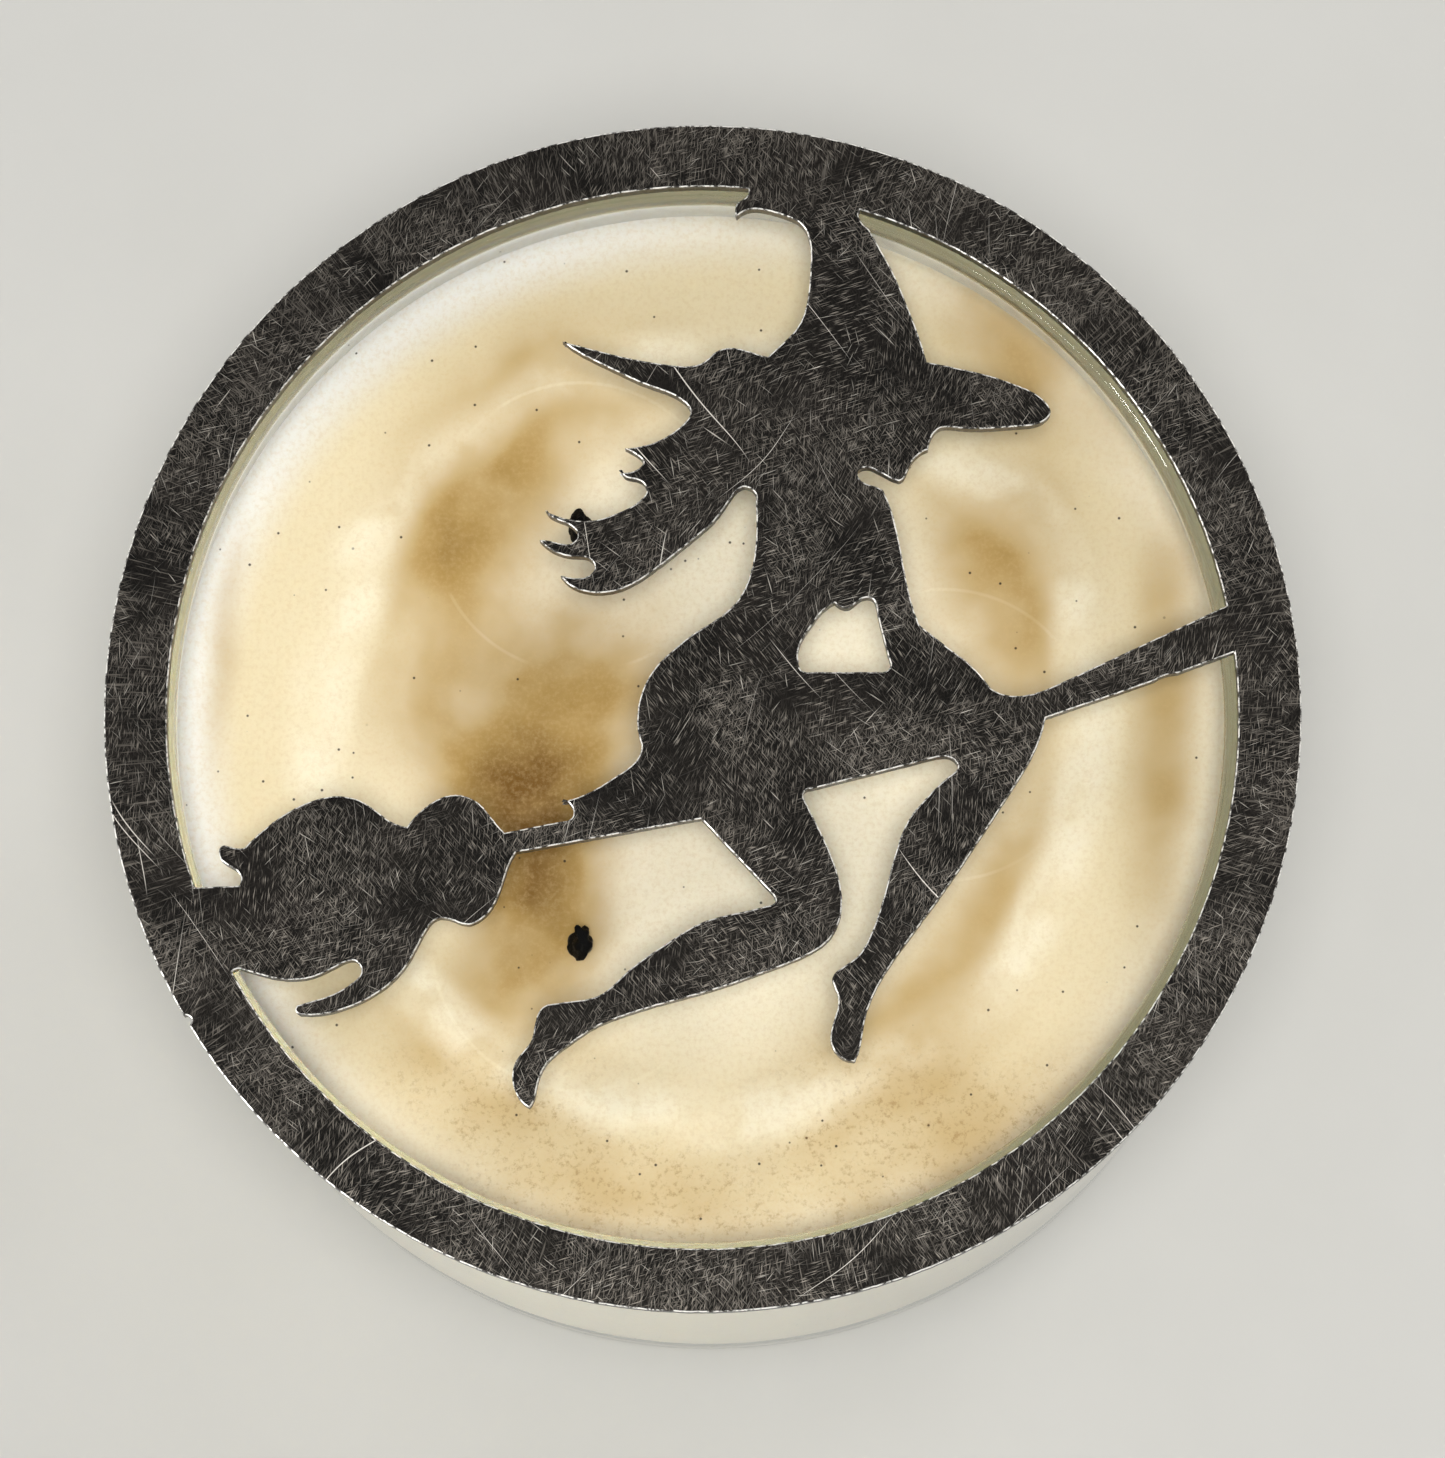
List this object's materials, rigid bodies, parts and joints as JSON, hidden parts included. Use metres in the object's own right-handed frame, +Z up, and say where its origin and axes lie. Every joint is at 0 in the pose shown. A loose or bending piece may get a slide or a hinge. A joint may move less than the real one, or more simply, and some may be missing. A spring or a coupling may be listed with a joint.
{
  "type": "jar candle",
  "caption": "Round clear glass jar candle with cream wax, burnt braided wicks and a flat laser-cut steel silhouette topper lying loose on the rim.",
  "frame": {"origin": "middle of the jar's footprint, on the surface that it stands on", "axes": "+Z up along the jar's axis, +X the way the cut-out figure flies (towards the broom handle), +Y towards the tip of its hat"},
  "size_m": [0.104, 0.104, 0.0899],
  "materials": {
    "clear_glass": "clear soda-lime glass, slightly green at the rim, fire-polished",
    "cream_wax": "satin cream wax, soot-stained and remelted on top",
    "wick_cotton": "waxed cotton braid, charred black at the stub",
    "sustainer_steel": "bright tin-plated sheet",
    "adhesive": "matt off-white adhesive dot",
    "scratched_steel": "dark hot-rolled sheet, hand-sanded, bright fine scratches and bright cut edges"
  },
  "bodies": {
    "jar": {"glass_jar": "clear_glass", "wax_fill": "cream_wax", "wick_1": "wick_cotton", "wick_2": "wick_cotton", "wick_3": "wick_cotton", "wick_sustainer_1": "sustainer_steel", "wick_sustainer_2": "sustainer_steel", "wick_sustainer_3": "sustainer_steel", "adhesive_dot_1": "adhesive", "adhesive_dot_2": "adhesive", "adhesive_dot_3": "adhesive"},
    "topper": {"silhouette_plate": "scratched_steel"}
  },
  "joints": [
    {"name": "topper_lift", "type": "slide", "parent": "jar", "child": "topper", "axis": [0, 0, 1], "range_m": [0, 0.06]}
  ]
}
